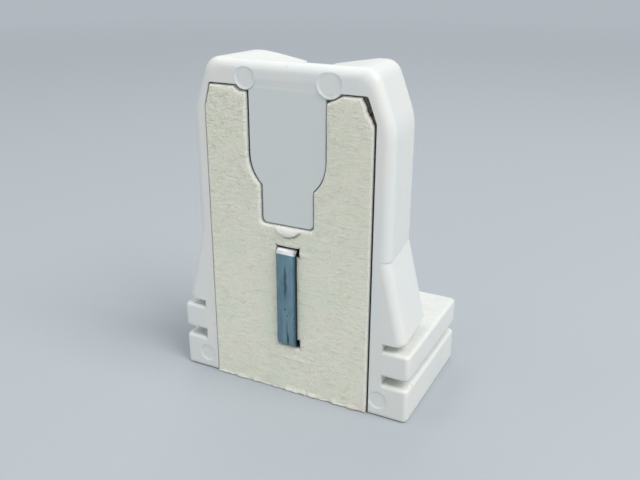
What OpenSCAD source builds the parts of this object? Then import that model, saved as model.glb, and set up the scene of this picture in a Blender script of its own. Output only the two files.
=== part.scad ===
// Lampholder for a fluorescent tube with a two-pin cap: a one-piece moulding with a slide-on
// base, a fibre back plate held by a steel clip, and a sprung contact on each side.
// X runs across the holder, Y from its back towards the lamp, Z up from its underside.
// Y = 0 is the lamp face.

/* [Base] */
// Width over the mounting flanges
base_w = 32.6; // [31:0.1:40]
// Depth of the base
base_d = 18.3; // [17:0.1:24]
// Thickness of the lower flange
lower_flange_t = 4.6; // [3.4:0.1:6]
// Gap between the two flanges, for the edge of a metal channel
lower_gap_h = 1.2; // [0.8:0.1:2]
// Thickness of the upper flange
upper_flange_t = 3.5; // [2.5:0.1:5]
// Gap between the upper flange and the foot of the flare
upper_gap_h = 1; // [0.8:0.1:2]
// Radius of the flanges' edges
flange_edge_r = 0.45; // [0.2:0.05:0.8]
// Radius of the flanges' upright corners
flange_corner_r = 0.6; // [0.5:0.1:2]

/* [Body] */
// Width of the body at its back
body_w = 26.4; // [25.2:0.2:30]
// Width of the neck between the flanges
neck_w = 25.6; // [24:0.2:26]
// Depth of the body, from its back to the lamp face
body_d = 9; // [8.6:0.1:12]
// Overall height
body_h = 42.5; // [40:0.1:50]
// Height at which the sides start to flare
waist_z = 20.7; // [17:0.1:24]
// How far each side has flared out at its foot
flare_out = 2.5; // [0.5:0.1:2.8]
// Height of each sloping shoulder
shoulder_drop = 6.4; // [5:0.1:9]
// Width of each sloping shoulder
shoulder_run = 2.4; // [1.5:0.1:3.4]
// Radius of the soft edges round the back
back_edge_r = 1.2; // [0.4:0.1:1.2]
// Radius of the edges round the lamp face
face_edge_r = 0.7; // [0.3:0.1:1]
// How much narrower each side is at the lamp face
side_draft = 0.7; // [0:0.1:1]
// Depth of the valley between the two humps of the top
valley_dip = 1.05; // [0.3:0.05:1.4]
// Width of the valley at its brim
valley_w = 15.8; // [8:0.2:18]

/* [Walls] */
// Thickness of the wall behind the lamp face
face_wall_t = 1.5; // [1.2:0.1:2.2]
// Thickness of the wall behind the pin track
rear_wall_t = 1.2; // [1:0.1:1.5]
// Thickness of the floor, which the wires pass
floor_t = 2.2; // [1.8:0.1:3]
// Thickness of the toe's roof and front wall
toe_wall_t = 1.6; // [1.2:0.1:2]
// Width of the rim beside the back plate
side_rim_w = 2; // [1.4:0.1:2.4]
// Height of the rim above the back plate
top_rim_h = 2.9; // [2.4:0.1:4]
// Width of the ledge that carries each side of the back plate
ledge_w = 1.2; // [0.6:0.1:1.6]
// Width of the rib between the two contact chambers
rib_w = 6.8; // [6.4:0.1:7.4]

/* [Lamp pins] */
// Distance between the lamp's two pins
pin_pitch = 12.7; // [12.4:0.1:13]
// Diameter of a lamp pin
pin_d = 2.35; // [2.2:0.01:2.5]
// Play on each side of a pin in its track
pin_play = 0.27; // [0.15:0.01:0.4]
// Depth of the lamp's axis below the top
lamp_drop = 10.9; // [10.5:0.1:13]

/* [Back plate] */
// Thickness of the fibre sheet
plate_t = 0.8; // [0.5:0.05:1.2]
// How far the plate stands proud of the back
plate_proud = 0.1; // [0:0.05:0.3]
// Gap round the plate
plate_gap = 0.2; // [0.05:0.05:0.3]
// Further width cut from the plate's right top corner
corner_cut = 0.9; // [0.1:0.1:1]
// Radius of the half-moon lip below the cut-out
lip_r = 2.1; // [1.2:0.1:2.6]
// How far the lip stands out at its lower edge
lip_rise = 0.25; // [0.1:0.05:0.4]

/* [Plate clip] */
// Width of the steel strip
clip_w = 2.7; // [2:0.1:3.4]
// Thickness of the steel strip
clip_t = 0.5; // [0.3:0.05:0.7]
// Height of the clip's lower edge
clip_z = 6.9; // [6.2:0.1:9]
// Height of the plain rib between the clip and the pin track
clip_drop = 3.5; // [2.5:0.1:6]
// Length of the legs behind the strip
clip_leg = 6.6; // [4:0.1:6.8]
// Play round a leg in its slot
leg_play = 0.05; // [0.02:0.01:0.15]

/* [Contacts] */
// Thickness of the bronze contact strip
contact_t = 0.4; // [0.3:0.05:0.6]
// Width of the strip that rises to the pin leaf
riser_w = 5; // [4:0.1:5.4]
// Thickness of the pin leaf
leaf_t = 0.35; // [0.2:0.05:0.4]
// Width of the pin leaf
leaf_w = 4.4; // [3:0.1:5]
// Height from the leaf's root to the lamp's axis
leaf_arm = 8.6; // [7:0.1:9.5]
// Height of the leaf above the lamp's axis
leaf_tip_h = 5; // [3:0.1:5.6]
// How far the leaf stands in the pin's way
leaf_bite = 0.43; // [0.2:0.01:0.6]
// Depth of the seat in the leaf that a pin clicks into
seat_depth = 0.3; // [0.15:0.01:0.4]

/* [Wire springs] */
// Diameter of the bare wire
wire_d = 1.02; // [0.6:0.02:1.3]
// Diameter of each wire entry
entry_d = 2.4; // [1.8:0.1:2.6]
// Distance between the two wire entries of one side
entry_pitch = 7.5; // [6:0.1:8]
// Thickness of the spring steel
spring_t = 0.3; // [0.2:0.05:0.4]
// Width of a wire tongue
tongue_w = 2.6; // [1.6:0.1:3.2]
// Height of a tongue's root above the floor
tongue_root_h = 0.8; // [0.6:0.05:1]
// Height of a tongue's tip above its root
tongue_rise = 2.4; // [1.6:0.1:2.8]

/* [Hidden] */

// Cuts run this far past the faces they break through
past = 1;
// Thickness of the slices that a rounded block is stretched over
slice = 0.01;
// Steps in a quarter round
quarter_steps = 6;
$fn = 64;

back_y = -body_d;
toe_y = base_d - body_d;
body_hw = body_w / 2;
lower_top = lower_flange_t;
upper_bottom = lower_top + lower_gap_h;
upper_top = upper_bottom + upper_flange_t;
flare_z = upper_top + upper_gap_h;
shoulder_a = atan2(shoulder_drop, shoulder_run);
shoulder_r = 8;
top_corner_r = 2;
flare_lip = 0.4;

lamp_z = body_h - lamp_drop;
track_w = pin_d + 2 * pin_play;
track_ri = (pin_pitch - track_w) / 2;
track_ro = (pin_pitch + track_w) / 2;
track_back = back_y + rear_wall_t;
// The slot's mouth widens by this much on each side, over this height
mouth_lead = 0.6;
mouth_h = 1.5;
mouth_w = track_w + 2 * mouth_lead;
// Chamfer of the track's edges at the lamp face
track_edge = 0.3;
valley_z = body_h - valley_dip;

pocket_y = back_y + plate_t - plate_proud;
pocket_hw = body_hw - side_rim_w;
pocket_top = body_h - top_rim_h;
// Height and width of the pocket's sloping top corners, first the left one and then the right
pocket_drop = [2.7, 2.9];
pocket_run = [0.7, 1.1];
pocket_corner_r = 0.4;
ledge_end = 0.4;
ledge_top = pocket_top - max(pocket_drop) - ledge_end;
chamber_hw = pocket_hw - ledge_w;
chamber_front = -face_wall_t;
toe_front = toe_y - toe_wall_t;
toe_roof = upper_top - toe_wall_t;
rib_hw = rib_w / 2;
// The wall behind the pins covers the islands and ends below the track
wall_lap = 0.1;
wall_below = 0.6;
wall_hw = track_ri + wall_lap;
wall_z = lamp_z - track_ro - wall_below;
wall_recess = 0.12;
wall_recess_top = pocket_top + 0.9;
// The recess fades out over this height
recess_fade = 0.9;

// Round marks at the pocket's top and beside its foot, first the left one and then the right
boss_r = [1.45, 1.65];
boss_x = wall_hw + 0.45;
boss_z = pocket_top + 0.9;
boss_rim = 0.1;
foot_mark_r = 1.25;
foot_mark_x = [pocket_hw + 1.7, pocket_hw + 1.2];
foot_mark_z = lower_flange_t / 2;
mark_depth = 0.12;
mark_slope = 0.25;
// Where the plate's notch round each boss starts and where its slope ends, out from the wall
notch_foot = [1.1, 0];
notch_end = [2, 2.3];
// How far each notch reaches below its boss
notch_below = [0, 0.35];
// Rise of the step that ends the cut at the plate's right top corner
corner_step = 0.9;
lip_reach = 1.4;

clip_top = lamp_z - track_ro - clip_drop;
clip_bend = clip_t + 0.3;
clip_y = pocket_y - plate_t;
teeth = 3;
tooth_pitch = 1;
tooth_depth = 0.2;
leg_point = 0.8;
leg_taper = 0.4;
core_wall = 1.4;
core_hw = rib_hw - core_wall;
core_end = 1.6;
foot_core_h = lower_flange_t;

chamber_play = 0.3;
contact_x = chamber_hw - contact_t;
contact_corner_r = 0.5;
pad_step = 1;
riser_gap = 0.7;
riser_y = chamber_front - riser_gap - riser_w / 2;
root_gap = 0.1;
// A root's round end stands out from its strip by this much
root_bead = 0.03;
root_x = chamber_hw - max(contact_t, leaf_t) / 2 - 2 * root_bead;
root_z = lamp_z - leaf_arm;
// Bend of the leaf just above its root, in and up
leaf_bend = [0.1, 1.2];
leaf_bend_r = 1.5;
leaf_tip_out = 0.75;
seat_half = 1;
seat_r = 0.8;
seat_edge_r = 0.5;
seat_x = (pin_pitch + pin_d) / 2 - leaf_bite + leaf_t / 2;

wire_x = contact_x - wire_d / 2;
entry_mid = (pocket_y + toe_front) / 2;
entry_y = [entry_mid - entry_pitch / 2, entry_mid + entry_pitch / 2];
entry_lead = 0.4;
spring_corner_r = 0.4;
tongue_out = 0.08;
tongue_root = [rib_hw + spring_t + tongue_out, floor_t + tongue_root_h];
tongue_gap = 0.35;
// Bend of the tongue, back and down from its tip
tongue_bend = [1.5, 0.9];
tongue_bend_r = 2;
window_play = 0.2;

// ---- Outlines ----

function unit(v) = v / norm(v);

// Points of the arc that rounds corner b, between its neighbours a and c, each [x, y, radius]
function corner(a, b, c) =
    let (p = [b.x, b.y], u = unit([a.x, a.y] - p), v = unit([c.x, c.y] - p))
    let (half = acos(u * v) / 2, mid = p + unit(u + v) * b[2] / sin(half))
    let (start = p + u * b[2] / tan(half) - mid, end = p + v * b[2] / tan(half) - mid)
    let (from = atan2(start.y, start.x), turn = (atan2(end.y, end.x) - from + 540) % 360 - 180)
    b[2] == 0 ? [p] : [for (i = [0 : quarter_steps])
        mid + b[2] * [cos(from + turn * i / quarter_steps), sin(from + turn * i / quarter_steps)]];

// A closed outline with each corner rounded to its own radius
function rounded(pts) = let (n = len(pts))
    [for (i = [0 : n - 1]) each corner(pts[(i + n - 1) % n], pts[i], pts[(i + 1) % n])];

// An open path with each inner corner rounded to its own radius
function rounded_path(pts) = let (n = len(pts))
    [[pts[0].x, pts[0].y],
     for (i = [1 : n - 2]) each corner(pts[i - 1], pts[i], pts[i + 1]),
     [pts[n - 1].x, pts[n - 1].y]];

// The right half of an outline, closed by the mirror image of the left one
function joined(right, left) = concat(right,
    [for (i = [len(left) - 1 : -1 : 0]) [-left[i].x, left[i].y, left[i][2]]]);
function mirrored(half) = joined(half, half);

// Outline of a bent strip, t thick, along an open path
function strip_side(path, t) = let (n = len(path))
    [for (i = [0 : n - 1])
        let (a = unit(path[max(i, 1)] - path[max(i, 1) - 1]))
        let (b = unit(path[min(i, n - 2) + 1] - path[min(i, n - 2)]))
        let (m = unit([-a.y - b.y, a.x + b.x]))
        path[i] + m * t / 2 / (m * [-b.y, b.x])];
function strip(path, t) = concat(strip_side(path, t),
    let (other = strip_side(path, -t)) [for (i = [len(other) - 1 : -1 : 0]) other[i]]);

// Outline of the upper body, with its sides at x, drawn in by e from the waist up
function body_outline(x, e) = rounded(mirrored([
    [x - e, waist_z, 0],
    [x - e, body_h - shoulder_drop - e * tan(45 - shoulder_a / 2), shoulder_r],
    [x - shoulder_run - e * tan(shoulder_a / 2), body_h - e, top_corner_r]]));

// Plan of the body, spread by e at each side and edged like the upper body
function body_plan(e) = rounded([
    [body_hw + e, back_y, back_edge_r], [body_hw + e - side_draft, 0, face_edge_r],
    [-body_hw - e + side_draft, 0, face_edge_r], [-body_hw - e, back_y, back_edge_r]]);

// Outline of the wall behind the pins, grown by g, with its top past the pocket
function wall_outline(g) =
    let (r = wall_hw + g, x = rib_hw + g, turn = acos(x / r), n = 2 * quarter_steps)
    let (side = concat([[x, wall_z - g, 0.6]],
        [for (i = [n : -1 : 0]) [r * cos(turn * i / n), lamp_z - r * sin(turn * i / n), 0]],
        [[r, pocket_top + past, 0]]))
    rounded(mirrored(side));

// A side of the pocket for the back plate, drawn in by g: the left one is 0 and the right one 1
function pocket_side(side, g) = [
    [pocket_hw - g, -past, 0],
    [pocket_hw - g, pocket_top - pocket_drop[side] - g / 2, 0],
    [pocket_hw - pocket_run[side] - g, pocket_top - g, max(pocket_corner_r - g, 0)]];
function pocket_outline(g) = rounded(joined(pocket_side(1, g), pocket_side(0, g)));

// ---- Placing ----

// Raises a drawing of X and Z from y0 to y1
module along_y(y0, y1) {
    translate([0, y1, 0]) rotate([90, 0, 0]) linear_extrude(y1 - y0) children();
}

// Raises a drawing of Y and Z from x0 to x1
module along_x(x0, x1) {
    translate([x0, 0, 0]) rotate([90, 0, 90]) linear_extrude(x1 - x0) children();
}

// The child at the right, mirrored for the left when side is -1
module on_side(side) {
    if (side < 0) mirror([1, 0, 0]) children();
    else children();
}

// ---- Housing ----

// Upper body: its outline, drawn in round the back and round the lamp face
module upper_body() {
    hull() {
        for (a = [0 : 90 / quarter_steps : 90]) {
            back = back_y + back_edge_r * (1 - sin(a));
            along_y(back, back + slice)
                polygon(body_outline(body_hw, back_edge_r * (1 - cos(a))));
            face = -face_edge_r * (1 - sin(a));
            along_y(face - slice, face)
                polygon(body_outline(body_hw - side_draft, face_edge_r * (1 - cos(a))));
        }
    }
}

// Flare: the body's plan at the waist, spread to the foot and drawn in again below its lip
module flare() {
    hull() {
        translate([0, 0, waist_z]) linear_extrude(slice) polygon(body_plan(0));
        translate([0, 0, flare_z + flare_lip]) linear_extrude(slice) polygon(body_plan(flare_out));
        translate([0, 0, flare_z]) linear_extrude(slice) polygon(body_plan(flare_out - flare_lip / 2));
    }
}

// A flange with soft edges, from z0 up by t
module flange(z0, t) {
    r = flange_edge_r;
    hull() {
        for (a = [0 : 90 / quarter_steps : 90]) {
            e = r * (1 - cos(a));
            plan = rounded([
                [base_w / 2 - e, back_y + e, flange_corner_r - e / 2],
                [base_w / 2 - e, toe_y - e, flange_corner_r - e / 2],
                [-base_w / 2 + e, toe_y - e, flange_corner_r - e / 2],
                [-base_w / 2 + e, back_y + e, flange_corner_r - e / 2]]);
            translate([0, 0, z0 + r * (1 - sin(a))]) linear_extrude(slice) polygon(plan);
            translate([0, 0, z0 + t - r * (1 - sin(a)) - slice]) linear_extrude(slice) polygon(plan);
        }
    }
}

// Neck between the flanges, and between the upper flange and the flare
module neck() {
    z0 = lower_flange_t / 2;
    z1 = upper_top - upper_flange_t / 2;
    translate([-neck_w / 2, back_y, z0]) cube([neck_w, base_d, z1 - z0]);
    translate([-neck_w / 2, back_y, z1]) cube([neck_w, body_d, flare_z + flare_lip - z1]);
}

// The shallow valley of the top, in front of the wall behind the pins
module valley() {
    along_y(track_back, past) polygon([
        [-valley_w / 2, body_h], [-mouth_w / 2, valley_z], [mouth_w / 2, valley_z],
        [valley_w / 2, body_h], [valley_w / 2, body_h + past], [-valley_w / 2, body_h + past]]);
}

// Track for the pins: down a slot from the top, then round a ring
module pin_track() {
    along_y(track_back, past) {
        difference() {
            translate([0, lamp_z]) circle(track_ro);
            translate([0, lamp_z]) circle(track_ri);
        }
        translate([-track_w / 2, lamp_z - track_ri - pin_play])
            square([track_w, lamp_drop + track_ri + pin_play + past]);
        polygon([[-track_w / 2, valley_z - mouth_h], [track_w / 2, valley_z - mouth_h],
            [mouth_w / 2, valley_z], [mouth_w / 2, body_h + past],
            [-mouth_w / 2, body_h + past], [-mouth_w / 2, valley_z]]);
    }
}

// Chamfer round the edges of the track and its slot at the lamp face
module track_chamfer() {
    out = track_edge + past;
    translate([0, 0, lamp_z]) rotate([-90, 0, 0]) rotate_extrude() polygon([
        [track_ri, -track_edge], [track_ro, -track_edge], [track_ro + out, past],
        [track_ri - out, past]]);
    translate([0, 0, lamp_z - track_ri]) linear_extrude(lamp_drop + track_ri + past) polygon([
        [-track_w / 2, -track_edge], [track_w / 2, -track_edge], [track_w / 2 + out, past],
        [-track_w / 2 - out, past]]);
}

// Two round moulding bosses that break the upper edge of the pocket, grown by g
module bosses(g) {
    translate([-boss_x, boss_z]) circle(boss_r[0] + g);
    translate([boss_x, boss_z]) circle(boss_r[1] + g);
}

module plate_pocket() {
    along_y(back_y - past, pocket_y) difference() {
        polygon(pocket_outline(0));
        polygon(wall_outline(0));
        bosses(0);
    }
}

// Contact chambers: the pocket's outline within the ledges, deeper under the toe
module contact_chambers() {
    along_y(pocket_y - slice, chamber_front) difference() {
        union() {
            translate([-chamber_hw, floor_t]) square([2 * chamber_hw, ledge_top - floor_t]);
            intersection() {
                polygon(pocket_outline(0));
                translate([-body_hw, ledge_top - slice]) square([body_w, body_h]);
            }
        }
        polygon(wall_outline(0));
        translate([-rib_hw, 0]) square([rib_w, lamp_z]);
        bosses(0);
    }
    for (side = [-1, 1]) on_side(side)
        translate([rib_hw, chamber_front - slice, floor_t])
            cube([chamber_hw - rib_hw, toe_front - chamber_front + slice, toe_roof - floor_t]);
}

// Slots that take the legs of the plate clip
module clip_slots() {
    for (z = [clip_z, clip_top - clip_t])
        translate([-clip_w / 2 - leg_play, pocket_y - slice, z - leg_play])
            cube([clip_w + 2 * leg_play, clip_leg - plate_t + chamber_play, clip_t + 2 * leg_play]);
}

// Hollows that keep the rib's walls even: one behind the plate, and two in the underside
module rib_cores() {
    z0 = clip_z + clip_t + core_end;
    z1 = clip_top - clip_t - core_end;
    translate([-core_hw, pocket_y - slice, z0])
        cube([2 * core_hw, chamber_front - pocket_y + slice, z1 - z0]);
    for (y = [[pocket_y + toe_wall_t, -toe_wall_t / 2], [toe_wall_t / 2, toe_front]])
        translate([-core_hw, y[0], -past]) cube([2 * core_hw, y[1] - y[0], foot_core_h + past]);
}

module wire_entries() {
    for (side = [-1, 1], y = entry_y) translate([side * wire_x, y, 0]) {
        translate([0, 0, -past]) cylinder(d = entry_d, h = floor_t + past);
        translate([0, 0, -slice])
            cylinder(d1 = entry_d + 2 * entry_lead, d2 = entry_d, h = entry_lead);
    }
}

// A shallow round mark in the back, with a sloping edge
module round_mark(x, z, r) {
    translate([x, back_y - slice, z]) rotate([-90, 0, 0])
        cylinder(r1 = r, r2 = r - mark_slope, h = mark_depth + slice);
}

module round_marks() {
    for (side = [0, 1]) {
        round_mark((2 * side - 1) * boss_x, boss_z, boss_r[side] - boss_rim);
        round_mark((2 * side - 1) * foot_mark_x[side], foot_mark_z, foot_mark_r);
    }
}

// The slightly sunk wall behind the pins, which fades out above the pocket
module wall_face() {
    difference() {
        along_x(-wall_hw - past, wall_hw + past) polygon([
            [back_y - past, wall_z - past], [back_y + wall_recess, wall_z - past],
            [back_y + wall_recess, wall_recess_top - recess_fade], [back_y, wall_recess_top],
            [back_y - past, wall_recess_top]]);
        along_y(back_y - 2 * past, back_y + past) bosses(0);
    }
}

module housing() {
    color("whitesmoke") difference() {
        union() {
            upper_body();
            flare();
            flange(0, lower_flange_t);
            flange(upper_bottom, upper_flange_t);
            neck();
        }
        valley();
        pin_track();
        track_chamfer();
        plate_pocket();
        contact_chambers();
        clip_slots();
        rib_cores();
        wire_entries();
        round_marks();
        wall_face();
    }
}

// ---- Back plate ----

// Outline of the fibre sheet: cut away for the wall behind the pins and round the bosses
module plate_outline() {
    bend = pocket_side(1, plate_gap)[1];
    tip = pocket_side(1, plate_gap)[2];
    difference() {
        intersection() {
            polygon(pocket_outline(plate_gap));
            translate([-body_hw, 0]) square([body_w, body_h]);
        }
        polygon([
            [tip.x - corner_cut, body_h], [tip.x - corner_cut, tip.y],
            [bend.x - corner_cut, bend.y + corner_step], [bend.x, bend.y], [body_hw, bend.y],
            [body_hw, body_h]]);
        polygon(wall_outline(plate_gap));
        bosses(plate_gap);
        for (side = [0, 1]) {
            low = boss_z - boss_r[side] - plate_gap - notch_below[side];
            on_side(2 * side - 1) polygon([
                [0, low], [wall_hw + notch_foot[side], low],
                [wall_hw + notch_end[side], tip.y], [wall_hw + notch_end[side], body_h],
                [0, body_h]]);
        }
        for (z = [clip_z, clip_top - clip_bend])
            translate([-clip_w / 2 - plate_gap, z - plate_gap])
                square([clip_w + 2 * plate_gap, clip_bend + 2 * plate_gap]);
    }
}

// Half-moon lip that slopes out from the foot of the cut-out to its own round lower edge
module lip() {
    top = wall_z - plate_gap;
    low = wall_z - lip_reach;
    intersection() {
        along_y(clip_y - lip_rise, clip_y + plate_t / 2) translate([0, low + lip_r]) circle(lip_r);
        along_x(-lip_r, lip_r) polygon([
            [clip_y + plate_t / 2, top], [clip_y, top], [clip_y - lip_rise, low],
            [clip_y + plate_t / 2, low]]);
    }
}

module back_plate() {
    color([0.80, 0.80, 0.73]) {
        along_y(clip_y, pocket_y) plate_outline();
        lip();
    }
}

// ---- Plate clip ----

// Steel strip with two legs: its bridge lies on the plate, and toothed legs hold in the rib
module plate_clip() {
    out = clip_y - clip_t;
    leg_end = pocket_y - plate_t + clip_leg;
    bend_end = clip_y + clip_bend - clip_t;
    profile = rounded([
        [bend_end, clip_z, 0], [out, clip_z, clip_bend],
        [out, clip_top, clip_bend], [bend_end, clip_top, 0],
        [bend_end, clip_top - clip_t, 0], [clip_y, clip_top - clip_t, clip_bend - clip_t],
        [clip_y, clip_z + clip_t, clip_bend - clip_t], [bend_end, clip_z + clip_t, 0]]);
    flank = clip_w / 2 - tooth_depth;
    teeth_y = leg_end - leg_point - teeth * tooth_pitch;
    leg = mirrored(concat(
        [[clip_w / 2, bend_end - slice], [clip_w / 2, teeth_y - tooth_pitch],
         [flank, teeth_y - tooth_pitch]],
        [for (i = [0 : teeth - 1]) each [[flank, teeth_y + i * tooth_pitch],
            [clip_w / 2, teeth_y + i * tooth_pitch]]],
        [[flank, leg_end - leg_point], [flank - leg_taper, leg_end]]));
    color([0.62, 0.67, 0.72]) {
        along_x(-clip_w / 2, clip_w / 2) polygon(profile);
        for (z = [clip_z, clip_top - clip_t]) translate([0, 0, z]) linear_extrude(clip_t)
            polygon([for (p = leg) [p.x, p.y]]);
    }
}

// ---- Contacts and wire springs, drawn for the right side ----

// Bronze strip: a pad for the wires under a riser that carries the pin leaf
module contact(side) {
    r = contact_corner_r;
    riser_top = root_z - leaf_t / 2 - root_bead - root_gap;
    outline = rounded([
        [pocket_y + chamber_play, floor_t, r],
        [toe_front - chamber_play, floor_t, r],
        [toe_front - chamber_play, toe_roof - chamber_play, r],
        [riser_y + riser_w / 2, toe_roof - chamber_play, 0],
        [riser_y + riser_w / 2, riser_top, 0],
        [riser_y - riser_w / 2, riser_top, 0],
        [riser_y - riser_w / 2, toe_roof + pad_step, 0],
        [pocket_y + chamber_play, toe_roof + pad_step, 0]]);
    color([0.80, 0.58, 0.34]) on_side(side) along_x(contact_x, chamber_hw) polygon(outline);
}

// A strip t thick along a path of X and Z, with a round end at the root that it bends about
module bent_strip(path, t, y0, y1) {
    along_y(y0, y1) polygon(strip(path, t));
    along_y(y0, y1) translate(path[0]) circle(d = t + 2 * root_bead);
}

// Springy leaf that a lamp pin clicks into, rooted at the top of the contact strip
module pin_leaf(side) {
    path = rounded_path([
        [root_x, root_z],
        [root_x - leaf_bend.x, root_z + leaf_bend.y, leaf_bend_r],
        [seat_x - seat_depth, lamp_z - seat_half, seat_edge_r],
        [seat_x, lamp_z, seat_r],
        [seat_x - seat_depth, lamp_z + seat_half, seat_edge_r],
        [seat_x + leaf_tip_out, lamp_z + leaf_tip_h]]);
    color([0.84, 0.62, 0.38]) on_side(side)
        bent_strip(path, leaf_t, riser_y - leaf_w / 2, riser_y + leaf_w / 2);
}

// Spring steel frame against the rib, with a window behind each tongue
module wire_spring(side) {
    color([0.70, 0.72, 0.74]) on_side(side) along_x(rib_hw, rib_hw + spring_t) difference() {
        polygon(rounded([for (corner = [
                [pocket_y + chamber_play, floor_t],
                [toe_front - chamber_play, floor_t],
                [toe_front - chamber_play, toe_roof - chamber_play],
                [pocket_y + chamber_play, toe_roof - chamber_play]])
            [corner.x, corner.y, spring_corner_r]]));
        for (y = entry_y)
            translate([y - tongue_w / 2 - window_play, tongue_root[1] - spring_t])
                square([tongue_w + 2 * window_play, tongue_rise + window_play]);
    }
}

// Tongue that bites a wire against the contact pad
module tongue(side, y) {
    tip_x = contact_x - tongue_gap;
    tip_z = tongue_root[1] + tongue_rise;
    path = rounded_path([
        [tongue_root.x, tongue_root.y],
        [tip_x - tongue_bend.x, tip_z - tongue_bend.y, tongue_bend_r],
        [tip_x, tip_z]]);
    color([0.74, 0.76, 0.78]) on_side(side)
        bent_strip(path, spring_t, y - tongue_w / 2, y + tongue_w / 2);
}

housing();
back_plate();
plate_clip();
contact(-1);  // left_contact
contact(1);  // right_contact
pin_leaf(-1);  // left_pin_leaf
pin_leaf(1);  // right_pin_leaf
wire_spring(-1);  // left_wire_spring
wire_spring(1);  // right_wire_spring
tongue(-1, entry_y[0]);  // left_rear_tongue
tongue(-1, entry_y[1]);  // left_front_tongue
tongue(1, entry_y[0]);  // right_rear_tongue
tongue(1, entry_y[1]);  // right_front_tongue
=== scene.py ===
# %% [markdown]
# # A lampholder for a fluorescent tube
# The holder is one white moulding that slides into the edge of a metal channel. A sheet of
# fibre closes its back, a steel clip holds the sheet, and bronze contacts wait inside for the
# two pins of the lamp. The solid model gives every size, so it is loaded first and stays as
# a fixed frame. Each piece of the picture is then built on that frame, in metres.

# %% Load the solid model
import math

import bmesh
import bpy
import numpy as np
from mathutils import Matrix, Vector, noise
from mathutils.geometry import delaunay_2d_cdt


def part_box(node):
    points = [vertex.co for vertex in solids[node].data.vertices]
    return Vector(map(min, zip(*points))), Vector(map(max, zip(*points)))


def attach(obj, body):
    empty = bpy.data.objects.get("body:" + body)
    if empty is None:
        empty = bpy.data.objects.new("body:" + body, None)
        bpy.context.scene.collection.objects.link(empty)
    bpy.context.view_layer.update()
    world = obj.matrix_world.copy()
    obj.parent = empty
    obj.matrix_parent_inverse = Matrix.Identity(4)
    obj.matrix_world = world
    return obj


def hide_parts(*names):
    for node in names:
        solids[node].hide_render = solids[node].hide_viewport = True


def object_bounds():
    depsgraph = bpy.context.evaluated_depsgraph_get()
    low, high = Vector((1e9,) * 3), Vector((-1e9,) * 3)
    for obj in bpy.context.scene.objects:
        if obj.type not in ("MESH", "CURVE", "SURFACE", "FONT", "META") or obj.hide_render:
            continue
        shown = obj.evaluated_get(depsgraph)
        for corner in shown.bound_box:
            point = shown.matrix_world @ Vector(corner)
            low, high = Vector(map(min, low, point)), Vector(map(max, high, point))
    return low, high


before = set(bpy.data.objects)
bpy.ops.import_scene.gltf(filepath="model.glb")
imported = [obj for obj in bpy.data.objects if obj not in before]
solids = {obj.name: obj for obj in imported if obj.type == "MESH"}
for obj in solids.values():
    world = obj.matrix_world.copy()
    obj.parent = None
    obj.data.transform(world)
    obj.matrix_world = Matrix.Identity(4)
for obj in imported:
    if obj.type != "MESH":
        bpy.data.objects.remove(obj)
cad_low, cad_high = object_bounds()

MM = 0.001
print("solid model, mm:", [round(x / MM, 2) for x in (*cad_low, *cad_high)])

# %% [markdown]
# The solid's own corners say where each piece is. The edges that a finish or a later piece
# needs get names here, in millimetres. The sheet's flat outer face is measured at its foot,
# because further up the lip stands out of it. A place that no corner gives, such as a stain's,
# is a named value beside the step that uses it.

# %% Name the places
AT_FOOT_MM = 0.01


def box_mm(name):
    """Lowest and highest corner of a solid, in millimetres."""
    low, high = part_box(name)
    return low / MM, high / MM


plate_low, plate_high = box_mm("back_plate")
clip_high = box_mm("plate_clip")[1]
foot = [v.co for v in solids["back_plate"].data.vertices if v.co.z / MM < AT_FOOT_MM]
plate_face = min(corner.y for corner in foot) / MM
lip_rise = plate_face - plate_low.y
for name in sorted(solids):
    low, high = box_mm(name)
    print(f"{name:18s}", [round(v, 2) for v in (*low, *high)])

# %% [markdown]
# The camera stands a little to the right of the holder's back and looks down on it. A long
# lens keeps the upright edges nearly parallel, as a product picture does. It comes early, so
# that each later step can be looked at as soon as it is made.

# %% Set up the camera
CAMERA_AT_MM = (40.82, -80.60, 54.06)
CAMERA_YAW, CAMERA_PITCH, CAMERA_ROLL = -26.95, -21.64, 0.21
LENS_MM, SENSOR_MM, NEAREST_MM = 41.08, 36, 1


def new_object(name, data):
    """An object in the scene that holds a mesh, a lamp or the camera."""
    made = bpy.data.objects.new(name, data)
    bpy.context.scene.collection.objects.link(made)
    return made


camera_data = bpy.data.cameras.new("camera")
camera_data.lens = LENS_MM
camera_data.sensor_width = SENSOR_MM
camera_data.clip_start = NEAREST_MM * MM
camera = new_object("camera", camera_data)
camera.location = Vector(CAMERA_AT_MM) * MM
yaw, pitch = math.radians(CAMERA_YAW), math.radians(CAMERA_PITCH)
look = Vector((math.sin(yaw) * math.cos(pitch), math.cos(yaw) * math.cos(pitch), math.sin(pitch)))
turn = look.to_track_quat("-Z", "Y").to_matrix() @ Matrix.Rotation(math.radians(CAMERA_ROLL), 3, "Z")
camera.rotation_euler = turn.to_euler()
bpy.context.scene.camera = camera
print("camera looks along", [round(v, 3) for v in look])

# %% [markdown]
# ## Writing a finish as sums
# A node material can be drawn by hand, but a formula is easier to read. A small class wraps a
# node's output, so that `0.4 + 0.2 * grain` adds the Math nodes itself. Colours never pass
# through Math nodes, because those turn a colour grey: they are blended by Mix nodes.

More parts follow.
